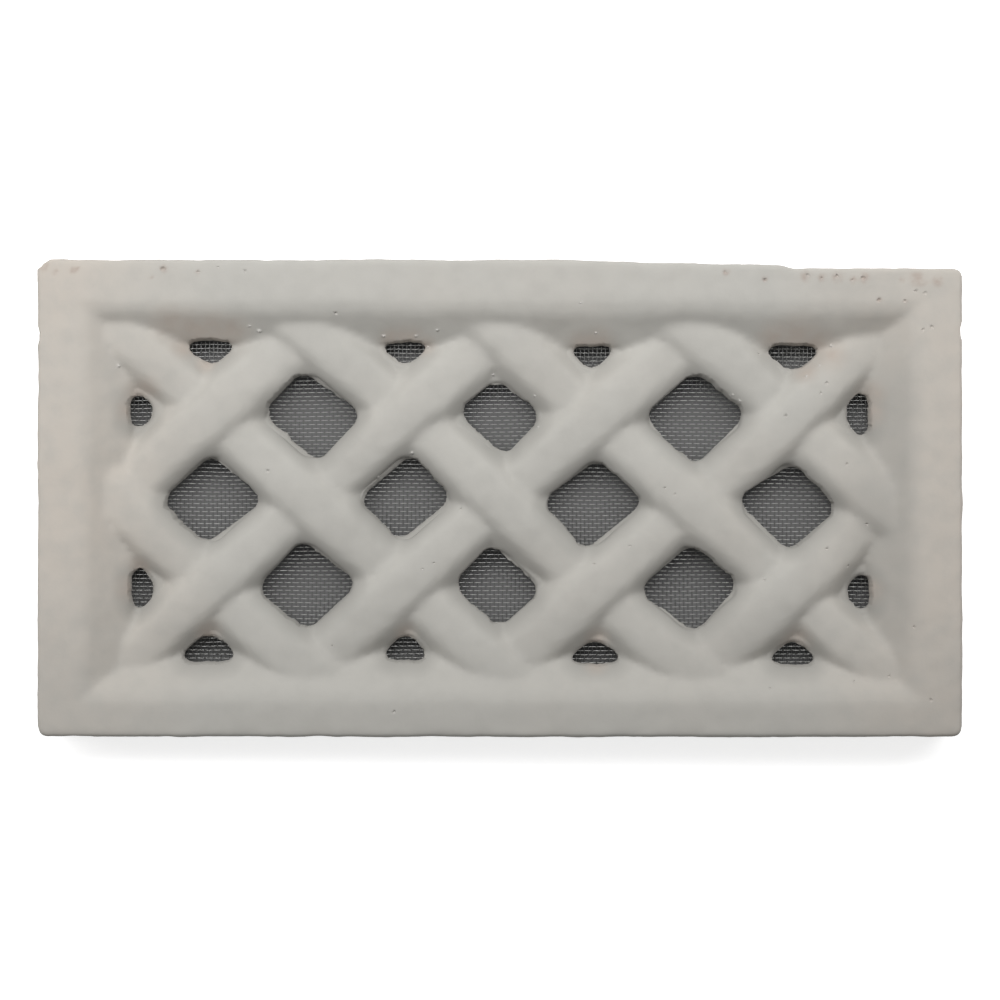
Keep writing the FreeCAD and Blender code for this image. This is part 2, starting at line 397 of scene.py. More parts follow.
def wire_material(name, dip_grey, highlight_grey):
    """Drawn wire with a painted highlight where the weave lifts it and painted shade where it dips."""
    material, start = new_material(name)
    place = start.object_place()
    _, _, height = place.parts()
    middle = (mesh_low.z + mesh_high.z) / 2
    lifted = height.between(middle - HIGHLIGHT_BELOW, mesh_high.z - HIGHLIGHT_BELOW)
    highlight_share = HIGHLIGHT_STRENGTH + HIGHLIGHT_CHANGE * (place.noise(scale=300.0) - 0.5)
    colour = (lifted * highlight_share).mix(rgba((dip_grey, dip_grey, dip_grey)), rgba((highlight_grey, highlight_grey, BLUE_LEFT * highlight_grey)))
    start.surface({"Base Color": colour, "Metallic": 1.0, "Roughness": 0.3})
    return material


# Floor: its colour behind the mesh, which is painted shade, where that fades out along and up from the
# middle, and the glow that brings the rest up to white for the camera
SHADED_FLOOR = (0.26, 0.26, 0.26)
SHADE_FADES_ALONG = (0.15, 0.16)
SHADE_FADES_UP = (0.07, 0.08)
NO_GLOW = (0, 0, 0)
FLOOR_GLOW = (0.68, 0.68, 0.68)


def floor_material(settings):
    """Plain pale floor that the camera sees as white, with painted shade only where the block covers it."""
    material, start = new_material("floor_paper")
    along, up, _ = start.object_place().parts()
    inside = (1 - abs(along).between(*SHADE_FADES_ALONG)) * (1 - abs(up).between(*SHADE_FADES_UP))
    colour = inside.mix(rgba(settings.floor_colour), rgba(SHADED_FLOOR))
    seen = start.ray("Is Camera Ray") + start.ray("Is Glossy Ray") + start.ray("Is Transmission Ray")
    glow = (seen * (1 - inside)).mix(rgba(NO_GLOW), rgba(FLOOR_GLOW))
    start.surface({
        "Base Color": colour, "Roughness": 0.9, "Specular IOR Level": 0.0,
        "Emission Color": glow, "Emission Strength": 1.0,
    })
    return material


def start_alone():
    """Go to object mode with nothing selected."""
    if bpy.context.object and bpy.context.object.mode != "OBJECT":
        bpy.ops.object.mode_set(mode="OBJECT")
    bpy.ops.object.select_all(action="DESELECT")


def make_active(piece):
    """Select one object alone."""
    start_alone()
    piece.select_set(True)
    bpy.context.view_layer.objects.active = piece


def apply_modifier(piece, kind, **settings):
    """Add a modifier with these settings and apply it."""
    make_active(piece)
    modifier = piece.modifiers.new(kind.lower(), kind)
    for name, value in settings.items():
        setattr(modifier, name, value)
    bpy.ops.object.modifier_apply(modifier=modifier.name)


def ruffle(piece, texture, strength, mid_level=0.5, **settings):
    """Displace a piece by a texture, in and out from its middle level."""
    apply_modifier(
        piece, "DISPLACE", texture=texture, texture_coords="LOCAL", strength=strength, mid_level=mid_level,
        **settings,
    )


def slide(piece, group, direction, distance):
    """Move a vertex group along an axis."""
    apply_modifier(
        piece, "DISPLACE", direction=direction, strength=distance, mid_level=0.0, vertex_group=group,
    )


def select(piece, kind, test):
    """Go to edit mode with only those vertices, edges or faces selected that pass a test."""
    make_active(piece)
    bpy.ops.object.mode_set(mode="EDIT")
    bpy.ops.mesh.select_mode(type=kind)
    bpy.ops.mesh.select_all(action="DESELECT")
    bpy.ops.object.mode_set(mode="OBJECT")
    parts = {"VERT": piece.data.vertices, "EDGE": piece.data.edges, "FACE": piece.data.polygons}
    for part in parts[kind]:
        part.select = test(part)
    bpy.ops.object.mode_set(mode="EDIT")


def vertex_group(piece, name, weight_of):
    """Vertex group whose weights come from each vertex's place."""
    group = piece.vertex_groups.new(name=name)
    for vertex in piece.data.vertices:
        weight = weight_of(vertex.co)
        if weight > 0:
            group.add([vertex.index], weight, "REPLACE")


def point_values(piece, name, value_of):
    """Attribute that the material reads, with a value for each vertex's place."""
    attribute = piece.data.attributes.new(name, "FLOAT", "POINT")
    attribute.data.foreach_set("value", [value_of(vertex.co) for vertex in piece.data.vertices])


def clouds(name, size, depth=2):
    """Texture of clouds for a Displace modifier, the finer the deeper."""
    texture = bpy.data.textures.new(name, "CLOUDS")
    texture.noise_scale = size
    texture.noise_depth = depth
    return texture


def ramp(value, low, high):
    """0 below low, 1 above high, straight in between."""
    return min(max((value - low) / (high - low), 0.0), 1.0)


def set_material(piece, material):
    piece.data.materials.clear()
    piece.data.materials.append(material)


def settle():
    """Put the active object's place, turn and size into its mesh."""
    bpy.ops.object.transform_apply(location=True, rotation=True, scale=True)


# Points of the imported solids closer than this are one
MERGED_WITHIN = 0.005 * MM


def merged_copy(node_name, piece_name):
    """Copy of a frame node with its loose triangles merged."""
    mesh = frame["nodes"][node_name].data.copy()
    piece = bpy.data.objects.new(piece_name, mesh)
    bpy.context.scene.collection.objects.link(piece)
    make_active(piece)
    bpy.ops.object.mode_set(mode="EDIT")
    bpy.ops.mesh.select_all(action="SELECT")
    bpy.ops.mesh.remove_doubles(threshold=MERGED_WITHIN)
    bpy.ops.object.mode_set(mode="OBJECT")
    return piece


def add_box(name, low, high):
    """Box between two corners."""
    start_alone()
    bpy.ops.mesh.primitive_cube_add(size=1.0, location=(low + high) / 2)
    box = bpy.context.object
    box.name = name
    box.scale = high - low
    settle()
    return box


def joined(name, piece, *others):
    """Join other objects into a piece, under a name."""
    start_alone()
    for other in others:
        other.select_set(True)
    piece.select_set(True)
    bpy.context.view_layer.objects.active = piece
    bpy.ops.object.join()
    piece.name = name
    return piece


def combine(piece, tool, operation, solver="MANIFOLD"):
    """Cut a tool out of a piece, or add it, and delete the tool."""
    apply_modifier(piece, "BOOLEAN", operation=operation, object=tool, solver=solver)
    make_active(tool)
    bpy.ops.object.delete()


def opening_box(name):
    """Lowest and highest corners of an opening in the record."""
    for opening in frame["record"]["physics"]["openings"]:
        if opening["name"] == name:
            low, high = opening["box_m"]
            return Vector(low), Vector(high)
    raise KeyError(name)


def finish_piece(piece, slot_name, *nodes):
    """Attach a finished piece to the body, and hide the imported nodes that it stands for."""
    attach(piece, BODY)
    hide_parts(*nodes)


# A face looks up or down where its normal has more than this share along Z
UPRIGHT = 0.9

# The floor of the weave is 1.5 mm thick: its openings are read off a thin slice at its middle
FLOOR_TOP = mesh_high.z + 1.5 * MM
FLOOR_MIDDLE = mesh_high.z + 0.75 * MM
HALF_SLICE = Vector((0, 0, 0.2 * MM))

# The worn floor: its level at the rims of the openings, its slope up from there, and the most that it
# rises and that it moves the skin
LOWEST_FLOOR = mesh_high.z + 0.15 * MM
FLOOR_SLOPE = 1.4
LARGEST_RISE = 1.8 * MM
LARGEST_MOVE = 4 * MM

# Outlines of the openings: spacing of their points, rounds in which long edges are halved for that, and
# the angle under which edges count as one line
OUTLINE_STEP = 0.9 * MM
HALVINGS = 6
ONE_LINE = math.radians(1)

# Openings along the bevels are smaller than this, in square metres, and have rounder outlines
SMALL_OPENING = 200 * MM * MM

# Space between an opening and its nearest neighbours, within which the weave moves along with it, and
# how far past the recess in front of it the border comes to rest
OPENING_SPACING = 46 * MM
BORDER_RESTS = (-6 * MM, 12 * MM)

# Most that a corner of an opening leans aside, and the share of its half size within which an outline is
# its own
LARGEST_LEAN = 5 * MM
OWN_OUTLINE = 1.01

# Foot of the bevels: how far it lies inside the recess behind and under the face, the run of the slope
# that carries the bevels on down to the floor of the weave, the width of the frame with that slope, how
# far it goes down under the floor, and the room that is left over and under it to cut it hollow
FOOT_INSIDE_RECESS = 5.8 * MM
FOOT_BELOW_FACE = 8.6 * MM
FOOT_SLOPE_RUN = 2.5 * MM
FOOT_FRAME_WIDTH = 3 * MM
FOOT_UNDER_FLOOR = 1 * MM
FOOT_ROOM = 0.5 * MM


def seen_from_camera(pixel_x, pixel_y):
    """Way from the camera to the place on the plane of the face that a pixel of the photograph shows."""
    return Vector(((pixel_x - MIDDLE_PIXEL) * PIXEL, (MIDDLE_PIXEL - pixel_y) * PIXEL, -CAMERA_HEIGHT))


def place_at(pixel_x, pixel_y, height):
    """Place at some height that a pixel of the photograph shows."""
    return EYE + seen_from_camera(pixel_x, pixel_y) * ((EYE.z - height) / CAMERA_HEIGHT)


def seen_at(piece, pixel_x, pixel_y):
    """Place and normal of the skin that a pixel of the photograph shows."""
    hit, place, normal, _ = piece.ray_cast(EYE, seen_from_camera(pixel_x, pixel_y))
    return (place, normal) if hit else (None, None)


def opening_outlines():
    """Flat outlines of all openings, as the floor of the weave has them, with points a step apart at most."""
    low = Vector((mesh_low.x, mesh_low.y, FLOOR_MIDDLE)) - HALF_SLICE
    high = Vector((mesh_high.x, mesh_high.y, FLOOR_MIDDLE)) + HALF_SLICE
    outlines = add_box("opening_outlines", low, high)
    combine(outlines, merged_copy("screen_block", "floor_tool"), "DIFFERENCE", solver="EXACT")
    select(outlines, "FACE", lambda face: face.normal.z < UPRIGHT)
    bpy.ops.mesh.delete(type="FACE")
    bpy.ops.mesh.select_all(action="SELECT")
    bpy.ops.mesh.dissolve_limited(angle_limit=ONE_LINE)

    def is_long(edge):
        first, second = (outlines.data.vertices[index].co for index in edge.vertices)
        return (first - second).length > OUTLINE_STEP

    for _ in range(HALVINGS):
        select(outlines, "EDGE", is_long)
        bpy.ops.mesh.subdivide(number_cuts=1)
    select(outlines, "FACE", lambda face: face.area < SMALL_OPENING)
    bpy.ops.mesh.vertices_smooth(factor=0.5, repeat=10)
    bpy.ops.object.mode_set(mode="OBJECT")
    return outlines


def corner_box(points):
    """Lowest and highest corner of the box round some points."""
    low = Vector([min(point[axis] for point in points) for axis in range(3)])
    high = Vector([max(point[axis] for point in points) for axis in range(3)])
    return low, high


def bounds_of(piece, face):
    """Lowest and highest corner of one face."""
    return corner_box([piece.data.vertices[index].co for index in face.vertices])


def fit_outlines(outlines):
    """Move and size each outline as the photograph shows it. Returns the moves, as place and shift."""
    shown = []
    for left, top, right, bottom in OPENINGS:
        shown.append((place_at(left, bottom, FLOOR_TOP), place_at(right, top, FLOOR_TOP)))
    moves = []
    for index in range(len(outlines.data.polygons)):
        low, high = bounds_of(outlines, outlines.data.polygons[index])
        middle = (low + high) / 2
        new_low, new_high = min(shown, key=lambda corners: ((corners[0] + corners[1]) / 2 - middle).length)
        shift = (new_low + new_high) / 2 - middle
        shift.z = 0
        growth = ((new_high.x - new_low.x) / (high.x - low.x), (new_high.y - new_low.y) / (high.y - low.y), 1)
        select(outlines, "FACE", lambda face: face.index == index)
        bpy.ops.transform.resize(value=growth, center_override=middle)
        bpy.ops.transform.translate(value=shift)
        bpy.ops.object.mode_set(mode="OBJECT")
        moves.append((middle, shift))
    return moves


def lean_outlines(outlines):
    """Move the corners of the openings between four strips aside, as the photograph shows them."""
    openings = []
    for (left, top, right, bottom), (upper, lower, at_left, at_right) in zip(OPENINGS, CORNERS):
        low = place_at(left, bottom, FLOOR_TOP)
        high = place_at(right, top, FLOOR_TOP)
        openings.append((
            (low + high) / 2, (high - low) / 2,
            place_at(upper, top, FLOOR_TOP).x, place_at(lower, bottom, FLOOR_TOP).x,
            place_at(left, at_left, FLOOR_TOP).y, place_at(right, at_right, FLOOR_TOP).y,
        ))

    def corner_shift(place):
        nearest = min(openings, key=lambda opening: (opening[0] - place).length)
        middle, half, upper_x, lower_x, left_y, right_y = nearest
        across = (place.x - middle.x) / half.x
        rise = (place.y - middle.y) / half.y
        if max(abs(across), abs(rise)) > OWN_OUTLINE:
            return 0, 0
        corner_x = upper_x if rise > 0 else lower_x
        corner_y = right_y if across > 0 else left_y
        return (corner_x - middle.x) * abs(rise), (corner_y - middle.y) * abs(across)

    leans = [(axis, sign) for axis in (0, 1) for sign in (1, -1)]
    for axis, sign in leans:
        def lean(place):
            return max(0, sign * corner_shift(place)[axis]) / LARGEST_LEAN

        vertex_group(outlines, f"lean_{axis}_{sign}", lean)
    for axis, sign in leans:
        slide(outlines, f"lean_{axis}_{sign}", "XY"[axis], sign * LARGEST_LEAN)


def shift_weave(piece, moves):
    """Let the weave follow its openings, inside the border."""
    recess_low, recess_high = opening_box("front_recess")
    middle = (recess_low + recess_high) / 2
    half = (recess_high - recess_low) / 2

    def inside_border(place):
        past = max(abs(place.x - middle.x) - half.x, abs(place.y - middle.y) - half.y)
        return 1 - ramp(past, *BORDER_RESTS)

    vertex_group(piece, "inside_border", inside_border)
    for place, shift in moves:
        marks = []
        for location in (place, place + shift):
            start_alone()
            bpy.ops.object.empty_add(location=location)
            marks.append(bpy.context.object)
        apply_modifier(
            piece, "WARP", object_from=marks[0], object_to=marks[1], falloff_type="SMOOTH",
            falloff_radius=OPENING_SPACING, vertex_group="inside_border",
        )
        start_alone()
        for mark in marks:
            mark.select_set(True)
        bpy.ops.object.delete()


# Ragged edges of the openings, in shares of their raggedness: length and strength of the waves along
# them, and how far points stray by themselves
RAGGED_WAVES = ((7 * MM, 4), (2 * MM, 2.2))
RAGGED_POINTS = 0.5

# How far the tool for the openings goes down under the mesh and up over the face
TOOL_UNDER_MESH = 1 * MM
TOOL_OVER_FACE = 5 * MM

# A face closer than this to the top of that tool is its upper face
LEVEL_ROOM = 0.1 * MM


def roughen_outlines(tool, amount, seed):
    """Let flat outlines stray: in long and short waves along them, and from point to point."""
    for length, share in RAGGED_WAVES:
        waves = clouds("edge_waves", length)
        for direction in "XY":
            ruffle(tool, waves, share * amount, direction=direction)
    level = tool.data.vertices[0].co.z
    select(tool, "VERT", lambda vertex: True)
    bpy.ops.transform.vertex_random(offset=RAGGED_POINTS * amount, seed=seed)
    bpy.ops.transform.resize(value=(1, 1, 0), center_override=(0, 0, level))
    bpy.ops.object.mode_set(mode="OBJECT")


def opening_tool(outlines, settings):
    """Upright tool on ragged outlines, which is wider at its top so that the walls it leaves lean out."""
    bottom = mesh_low.z - TOOL_UNDER_MESH
    top = block_high.z + TOOL_OVER_FACE
    tool = outlines.copy()
    tool.data = outlines.data.copy()
    tool.name = "opening_tool"
    bpy.context.scene.collection.objects.link(tool)
    roughen_outlines(tool, settings.raggedness, seed=11)
    select(tool, "FACE", lambda face: True)
    bpy.ops.transform.translate(value=(0, 0, bottom - FLOOR_MIDDLE))
    bpy.ops.mesh.extrude_region_move(TRANSFORM_OT_translate={"value": (0, 0, top - bottom)})
    bpy.ops.object.mode_set(mode="OBJECT")
    upper = [face.index for face in tool.data.polygons if face.center.z > top - LEVEL_ROOM]
    for index in upper:
        low, high = bounds_of(tool, tool.data.polygons[index])
        size = high - low
        growth = (1 + 2 * settings.lean / size.x, 1 + 2 * settings.lean / size.y, 1)
        select(tool, "FACE", lambda face: face.index == index)
        bpy.ops.transform.resize(value=growth, center_override=(low + high) / 2)
    select(tool, "FACE", lambda face: True)
    bpy.ops.mesh.normals_make_consistent(inside=False)
    bpy.ops.object.mode_set(mode="OBJECT")
    return tool


# Most that a chip or a bead is turned about each axis
LARGEST_TURN = 3


def any_turn(draw):
    """Random turn about the three axes."""
    return [draw.uniform(0, LARGEST_TURN) for _ in range(3)]


# Rough sides of the chips: size and strength of their waves
CHIP_WAVES = (2.5 * MM, 1.2 * MM)


def chip_tool(seed):
    """Rough balls that bite into the edges of the face."""
    draw = random.Random(seed)
    balls = []
    for pixel_x, pixel_y, width in CHIPS:
        start_alone()
        bpy.ops.mesh.primitive_ico_sphere_add(
            subdivisions=4, radius=width * MM / 2, location=place_at(pixel_x, pixel_y, block_high.z),
            rotation=any_turn(draw),
        )
        balls.append(bpy.context.object)
    tool = joined("chip_tool", *balls)
    make_active(tool)
    settle()
    length, strength = CHIP_WAVES
    ruffle(tool, clouds("chip_waves", length), strength)
    return tool


def foot_slope():
    """Frame whose inner sides carry the bevels on, down to the floor of the weave."""
    low, high = opening_box("back_recess")
    foot = block_high.z - FOOT_BELOW_FACE
    low = Vector((low.x + FOOT_INSIDE_RECESS, low.y + FOOT_INSIDE_RECESS, FLOOR_TOP - FOOT_UNDER_FLOOR))
    high = Vector((high.x - FOOT_INSIDE_RECESS, high.y - FOOT_INSIDE_RECESS, foot + FOOT_ROOM))
    room = Vector((FOOT_FRAME_WIDTH, FOOT_FRAME_WIDTH, -FOOT_ROOM))
    slope = add_box("foot_slope", low - room, high + room)
    hollow = add_box("foot_hollow", low, high)
    size = high - low
    select(hollow, "FACE", lambda face: face.normal.z < -UPRIGHT)
    bpy.ops.transform.resize(
        value=(1 - 2 * FOOT_SLOPE_RUN / size.x, 1 - 2 * FOOT_SLOPE_RUN / size.y, 1),
        center_override=(low + high) / 2,
    )
    bpy.ops.object.mode_set(mode="OBJECT")
    combine(slope, hollow, "DIFFERENCE")
    return slope


def bead_tool(piece, name, marks, sink, seed):
    """Uneven beads at the marks, sunk into the skin by a share of their width."""
    draw = random.Random(seed)
    beads = []
    for pixel_x, pixel_y, width in marks:
        place, normal = seen_at(piece, pixel_x, pixel_y)
        if place is None or place.z < FLOOR_TOP:
            continue
        start_alone()
        bpy.ops.mesh.primitive_ico_sphere_add(
            subdivisions=2, radius=width * MM / 2, location=place - normal * sink * width * MM,
            rotation=any_turn(draw), scale=(1.0, draw.uniform(0.7, 1.0), draw.uniform(0.75, 1.1)),
        )
        beads.append(bpy.context.object)
    tool = joined(name, *beads)
    make_active(tool)
    settle()
    return tool


def from_edge(place):
    """How far a place is from the nearest side of the block."""
    return min(block_high.x - abs(place.x), block_high.y - abs(place.y))


def rim_distance(outlines):
    """Function for how far a place is from the nearest point of the outlines, as seen from above."""
    rims = KDTree(len(outlines.data.vertices))
    for vertex in outlines.data.vertices:
        rims.insert((vertex.co.x, vertex.co.y, 0), vertex.index)
    rims.balance()

    def from_rim(place):
        _, _, distance = rims.find((place.x, place.y, 0))
        return distance

    return from_rim


# The box that fills the hollows of the casting is wider than the mesh by a margin and stays under its
# top
FILLING_MARGIN = Vector((0.5 * MM, 0.5 * MM, 0))
FILLING_UNDER_TOP = 1 * MM

# The skin is softened above the first level, less within these distances of the sides and of the rims,
# where these shares are left
SOFT_ABOVE = 2 * MM
SOFT_FROM_SIDES = (2 * MM, 8 * MM)
SOFT_AT_SIDES = 0.15
SOFT_FROM_RIMS = (1 * MM, 5 * MM)
SOFT_AT_RIMS = 0.6


def cast_skin(settings, outlines):
    """Copy of the casting on an even grid of points, softened, with its hollows filled to be cut later."""
    low = Vector((mesh_low.x, mesh_low.y, block_low.z)) - FILLING_MARGIN
    high = Vector((mesh_high.x, mesh_high.y, mesh_high.z - FILLING_UNDER_TOP)) + FILLING_MARGIN
    solid = merged_copy("screen_block", "cast_solid")
    piece = joined("woven_casting", solid, add_box("filling", low, high), foot_slope())
    apply_modifier(piece, "REMESH", mode="VOXEL", voxel_size=settings.grid)

    from_rim = rim_distance(outlines)

    def softness(place):
        if place.z < SOFT_ABOVE:
            return 0.0
        inside = SOFT_AT_SIDES + (1 - SOFT_AT_SIDES) * ramp(from_edge(place), *SOFT_FROM_SIDES)
        return inside * (SOFT_AT_RIMS + (1 - SOFT_AT_RIMS) * ramp(from_rim(place), *SOFT_FROM_RIMS))

    vertex_group(piece, "soft", softness)
    apply_modifier(piece, "SMOOTH", factor=0.5, iterations=settings.softening, vertex_group="soft")
    return piece


# Waves of the skin above its bed: their size, strength and middle level
WORN_ABOVE_BED = (0.5 * MM, 5 * MM)
LONG_WAVES = (28 * MM, 0.6 * MM, 0.6)
SHORT_WAVES = (7 * MM, 0.26 * MM, 0.7)

# Crumbled edges: distances from the sides where they end, and size, strength and middle level of the
# crumbs
CRUMBS_FROM_SIDES = (1.5 * MM, 4 * MM)
CRUMBS = (9 * MM, 0.8 * MM, 0.6)

# The worn upper edge: where it slopes down and then steps down, along from the middle, the share of each
# in all of it, and how far down the face it reaches
WORN_SLOPE = (20 * MM, 100 * MM)
WORN_STEP = (100 * MM, 105 * MM)
SLOPE_SHARE = 0.62
STEP_SHARE = 0.38
WORN_REACH = 12 * MM


def wear(piece, settings):
    """Wavy skin, and the upper edge worn away towards its right end."""
    def above_bed(place):
        return ramp(place.z, *WORN_ABOVE_BED)

    def at_edge(place):
        return above_bed(place) * (1 - ramp(from_edge(place), *CRUMBS_FROM_SIDES))

    def worn(place):
        slope = SLOPE_SHARE * ramp(place.x, *WORN_SLOPE) + STEP_SHARE * ramp(place.x, *WORN_STEP)
        return slope * ramp(place.y, block_high.y - WORN_REACH, block_high.y)

    vertex_group(piece, "above_bed", above_bed)
    for size, strength, level in (LONG_WAVES, SHORT_WAVES):
        ruffle(piece, clouds("skin_waves", size), strength, level, vertex_group="above_bed")
    vertex_group(piece, "at_edge", at_edge)
    size, strength, level = CRUMBS
    ruffle(piece, clouds("edge_crumbs", size, depth=4), strength, level, vertex_group="at_edge")
    vertex_group(piece, "worn", worn)
    slide(piece, "worn", "Y", -settings.edge_wear)


# The relief is lowered above this level only, and less within these distances of the sides
LOWERED_ABOVE = 3 * MM
LOWERED_FROM_SIDES = (4 * MM, 8 * MM)


def deepen(piece, settings, outlines):
    """Lower the relief to a floor that rises from the rims of the openings; lift what lies under it."""
    from_rim = rim_distance(outlines)

    def inside(place):
        return ramp(from_edge(place), *LOWERED_FROM_SIDES) * (place.z > LOWERED_ABOVE)

    def floor_at(place):
        return LOWEST_FLOOR + min(FLOOR_SLOPE * from_rim(place), LARGEST_RISE)

    def drop(place):
        wanted = settings.deepening * ramp(block_high.z - place.z, 0, block_high.z - FLOOR_TOP)
        return inside(place) * min(wanted, max(0, place.z - floor_at(place))) / LARGEST_MOVE

    def lift(place):
        return inside(place) * max(0, floor_at(place) - place.z) / LARGEST_MOVE

    vertex_group(piece, "drop", drop)
    vertex_group(piece, "lift", lift)
    slide(piece, "drop", "Z", -LARGEST_MOVE)
    slide(piece, "lift", "Z", LARGEST_MOVE)


# The bed is cut flat at this level by a box with this much room, and points this close to the cut are
# put down
BED_CUT = 0.4 * MM
BED_ROOM = 10 * MM
ON_BED = 0.01 * MM


def flatten_bed(piece):
    """Few faces on the flat bed that the block lies on."""
    level = block_low.z + BED_CUT
    room = Vector((BED_ROOM, BED_ROOM, 0))
    tool_low = block_low - room - Vector((0, 0, BED_ROOM))
    tool_high = Vector((block_high.x, block_high.y, level)) + room
    combine(piece, add_box("bed_tool", tool_low, tool_high), "DIFFERENCE")
    select(piece, "VERT", lambda vertex: vertex.co.z < level + ON_BED)
    bpy.ops.transform.resize(value=(1, 1, 0), center_override=(0, 0, block_low.z))
    bpy.ops.object.mode_set(mode="OBJECT")


def fit_to_frame(piece):
    """Bring the worn casting back to the size of its solid."""
    low, high = corner_box([vertex.co for vertex in piece.data.vertices])
    room = block_high - block_low
    size = high - low
    growth = [room[axis] / size[axis] for axis in range(3)]
    shift = (block_low + block_high - low - high) / 2
    shift.z = 0
    bed_middle = ((low.x + high.x) / 2, (low.y + high.y) / 2, block_low.z)
    select(piece, "VERT", lambda vertex: True)
    bpy.ops.transform.resize(value=growth, center_override=bed_middle)
    bpy.ops.transform.translate(value=shift)
    bpy.ops.object.mode_set(mode="OBJECT")


def cut_openings(piece, settings, outlines):
    """Cut the openings, and the recess that leaves the mesh open behind."""
    combine(piece, opening_tool(outlines, settings), "DIFFERENCE")
    recess_low, recess_high = opening_box("back_recess")
    recess_high.z = mesh_high.z
    combine(piece, add_box("recess_tool", recess_low, recess_high), "DIFFERENCE")
    for left, top, right, bottom in OPENINGS:
        place, _ = seen_at(piece, (left + right) / 2, (top + bottom) / 2)
        if place:
            raise RuntimeError(f"the opening at pixel {left}, {top} wasn't cut")


# How far a mark's colour reaches, in widths, and the distances from a rim at which the painted shade starts
# to fade and ends
MARK_REACH = {"dust": 1.5, "stain": 1.0, "pale": 0.7}
RIM_SHADE_REACH = (0.8 * MM, 6.8 * MM)

# How deep the middles of the balls for pinholes and of the beads lie in the skin, in shares of their
# width
PINHOLE_SINK = -0.2
BEAD_SINK = 0.22

# The angle from which an edge of the skin is shaded sharp
SHARP_EDGE = math.radians(40)


def colour_marks(piece, outlines):
    """Attributes of the skin: painted shade round the openings, dust along the bevels, stains and pale beads.
    """
    from_rim = rim_distance(outlines)
    # This attribute is painted shade towards the rims of the openings
    point_values(piece, "darkened", lambda place: 1 - ramp(from_rim(place), *RIM_SHADE_REACH))
    for name, marks in (("dust", DUST), ("stain", STAINS), ("pale", BEADS)):
        spots = []
        for pixel_x, pixel_y, width in marks:
            place, _ = seen_at(piece, pixel_x, pixel_y)
            if place:
                spots.append((place, width * MM))

        def strength(place):
            nearest = max(1 - (place - spot).length / (MARK_REACH[name] * width) for spot, width in spots)
            return max(0, nearest)

        point_values(piece, name, strength)


class SCREENBLOCK_OT_casting(Operator):
    """Cast the block: skin, wear and cement"""

    bl_idname = "screen_block.casting"
    bl_label = "Casting"

    def execute(self, context):
        settings = context.scene.screen_block_casting
        outlines = opening_outlines()
        piece = cast_skin(settings, outlines)
        shift_weave(piece, fit_outlines(outlines))
        lean_outlines(outlines)
        wear(piece, settings)
        deepen(piece, settings, outlines)
        flatten_bed(piece)
        fit_to_frame(piece)
        cut_openings(piece, settings, outlines)
        combine(piece, chip_tool(seed=2), "DIFFERENCE")
        combine(piece, bead_tool(piece, "pinhole_tool", PINHOLES, PINHOLE_SINK, seed=3), "DIFFERENCE")
        combine(piece, bead_tool(piece, "bead_tool", BEADS, BEAD_SINK, seed=4), "UNION")
        colour_marks(piece, outlines)
        make_active(outlines)
        bpy.ops.object.delete()
        make_active(piece)
        bpy.ops.object.shade_smooth_by_angle(angle=SHARP_EDGE)
        set_material(piece, cement_material(settings))
        finish_piece(piece, "cast_cement", "screen_block")
        return {"FINISHED"}


# Slack of the mesh: size and strength of its waves. Ends of wire closer than the last value are one.
MESH_SLACK = (22 * MM, 0.9 * MM)
WIRE_ENDS_MEET = 0.01 * MM


def woven_wires(name, crossings, pitch, rows, row_pitch, wire):
    """Wires along X that pass over and under at each crossing, one above the other in Y, about the origin."""
    length = (crossings - 1) * pitch
    breadth = (rows - 1) * row_pitch
    start_alone()
    bpy.ops.mesh.primitive_circle_add(
        vertices=4, radius=wire / 2, location=(-length / 2, -breadth / 2, -wire / 2),
        rotation=(0, math.radians(90), 0),
    )
    wires = bpy.context.object
    wires.name = name
    settle()
    bpy.ops.object.mode_set(mode="EDIT")
    bpy.ops.mesh.select_mode(type="VERT")
    bpy.ops.mesh.select_all(action="SELECT")
    bpy.ops.mesh.extrude_region_move(TRANSFORM_OT_translate={"value": (pitch, 0, wire)})
    bpy.ops.mesh.extrude_region_move(TRANSFORM_OT_translate={"value": (pitch, 0, -wire)})
    bpy.ops.object.mode_set(mode="OBJECT")
    apply_modifier(
        wires, "ARRAY", count=crossings // 2, use_relative_offset=False, use_constant_offset=True,
        constant_offset_displace=(2 * pitch, 0, 0), use_merge_vertices=True, merge_threshold=WIRE_ENDS_MEET,
    )
    bpy.ops.object.mode_set(mode="EDIT")
    bpy.ops.mesh.select_all(action="SELECT")
    bpy.ops.mesh.fill_holes(sides=4)
    bpy.ops.mesh.select_all(action="SELECT")
    bpy.ops.mesh.duplicate_move(TRANSFORM_OT_translate={"value": (0, row_pitch, 0)})
    bpy.ops.transform.resize(value=(1, 1, -1), center_override=(0, 0, 0))
    bpy.ops.mesh.select_all(action="SELECT")
    bpy.ops.mesh.normals_make_consistent(inside=False)
    bpy.ops.object.mode_set(mode="OBJECT")
    apply_modifier(
        wires, "ARRAY", count=rows // 2, use_relative_offset=False, use_constant_offset=True,
        constant_offset_displace=(0, 2 * row_pitch, 0),
    )
    return wires


